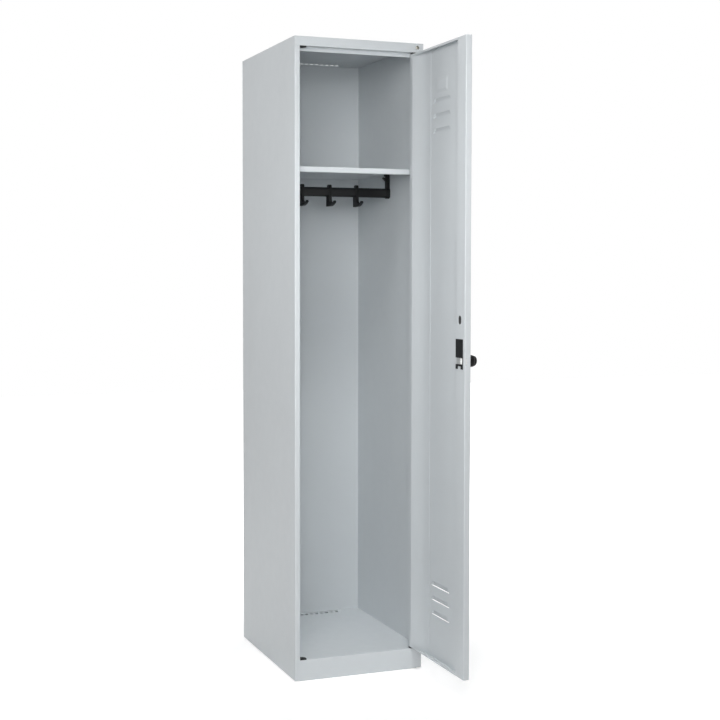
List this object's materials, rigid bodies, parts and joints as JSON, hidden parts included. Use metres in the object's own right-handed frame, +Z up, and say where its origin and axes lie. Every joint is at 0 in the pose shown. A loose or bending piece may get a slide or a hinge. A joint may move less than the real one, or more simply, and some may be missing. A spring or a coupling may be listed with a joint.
{
  "type": "garment locker",
  "caption": "Tall sheet-steel garment locker with a side-hung louvred door standing open, hat shelf, coat rail with sliding hooks, and a turn-knob bolt lock.",
  "frame": {"origin": "on the floor, at the middle of the flange under the front plinth", "axes": "+Z up, +Y from the front to the back, +X across the front towards the hinge side"},
  "size_m": [0.4148, 0.849, 1.85],
  "materials": {
    "locker_paint": "light grey powder coat, fine satin",
    "black_plastic": "moulded, matt black",
    "bright_steel": "zinc plated, bright",
    "rail_black": "black powder coat"
  },
  "bodies": {
    "carcass": {"left_side_panel": "locker_paint", "right_side_panel": "locker_paint", "top_panel": "locker_paint", "door_stop_strip": "locker_paint", "floor_panel": "locker_paint", "back_panel": "locker_paint", "base_rail_left": "locker_paint", "base_rail_right": "locker_paint", "base_rail_rear": "locker_paint", "hat_shelf": "locker_paint", "coat_rail": "rail_black", "rail_bracket_left": "black_plastic", "rail_bracket_right": "black_plastic", "bearing_top_left": "black_plastic", "bearing_top_right": "black_plastic", "bearing_bottom_left": "black_plastic", "bearing_bottom_right": "black_plastic", "hinge_screw": "bright_steel"},
    "door": {"door_skin": "locker_paint", "door_rail_top": "locker_paint", "door_rail_bottom": "locker_paint", "pivot_pin_top": "bright_steel", "pivot_pin_bottom": "bright_steel", "lock_case": "black_plastic", "knob_rosette": "black_plastic"},
    "knob": {"lock_knob": "black_plastic", "lock_spindle": "bright_steel", "lock_cam": "bright_steel"},
    "bolt": {"lock_bolt": "bright_steel"},
    "hook_left": {"coat_hook_left": "black_plastic"},
    "hook_centre": {"coat_hook_centre": "black_plastic"},
    "hook_right": {"coat_hook_right": "black_plastic"}
  },
  "joints": [
    {"name": "door_hinge", "type": "hinge", "parent": "carcass", "child": "door", "pos_m": [0.1745, -0.0055, 0], "axis": [0, 0, 1], "range_deg": [-90, 14]},
    {"name": "knob_turn", "type": "hinge", "parent": "door", "child": "knob", "pos_m": [0.1815, -0.3305, 0.939], "axis": [1, 0, 0], "range_deg": [0, 90]},
    {"name": "bolt_slide", "type": "slide", "parent": "door", "child": "bolt", "axis": [0, -1, 0], "range_m": [0, 0.014]},
    {"name": "hook_left_slide", "type": "slide", "parent": "carcass", "child": "hook_left", "axis": [1, 0, 0], "range_m": [-0.035, 0.035]},
    {"name": "hook_centre_slide", "type": "slide", "parent": "carcass", "child": "hook_centre", "axis": [1, 0, 0], "range_m": [-0.035, 0.035]},
    {"name": "hook_right_slide", "type": "slide", "parent": "carcass", "child": "hook_right", "axis": [1, 0, 0], "range_m": [-0.035, 0.035]}
  ],
  "couplings": [
    {"joint": "knob_turn", "follows": "bolt_slide", "rad_per_m": 112.19}
  ]
}
